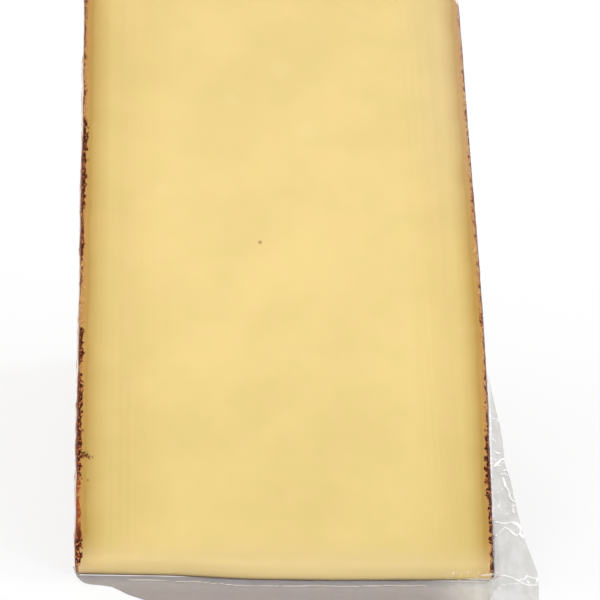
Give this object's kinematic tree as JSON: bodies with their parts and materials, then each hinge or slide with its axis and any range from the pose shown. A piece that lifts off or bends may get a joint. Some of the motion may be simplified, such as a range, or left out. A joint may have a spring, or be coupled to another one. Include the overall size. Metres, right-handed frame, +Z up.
{
  "type": "vacuum-packed cheese wedge",
  "caption": "Acute wedge of hard cheese with a brown washed rind, lying on a cut face and drawn tight in a clear vacuum pouch whose flat sealed edges stand out.",
  "frame": {"origin": "middle of the whole object's footprint, on the surface it lies on", "axes": "+Z up, -Y towards the wedge's point and the loose end of the pouch, +Y towards the rim, +X towards the side with the pouch's ear"},
  "size_m": [0.096, 0.2008, 0.1159],
  "materials": {
    "cheese": "smooth dense pale yellow paste, slightly translucent, with a rough brown rind on both sides and the rim",
    "clear_film": "clear glossy polyamide and polyethylene film, tight over the cheese and crinkled in the flat edges"
  },
  "bodies": {
    "root": {"cheese_wedge": "cheese", "vacuum_pouch": "clear_film"}
  },
  "joints": []
}
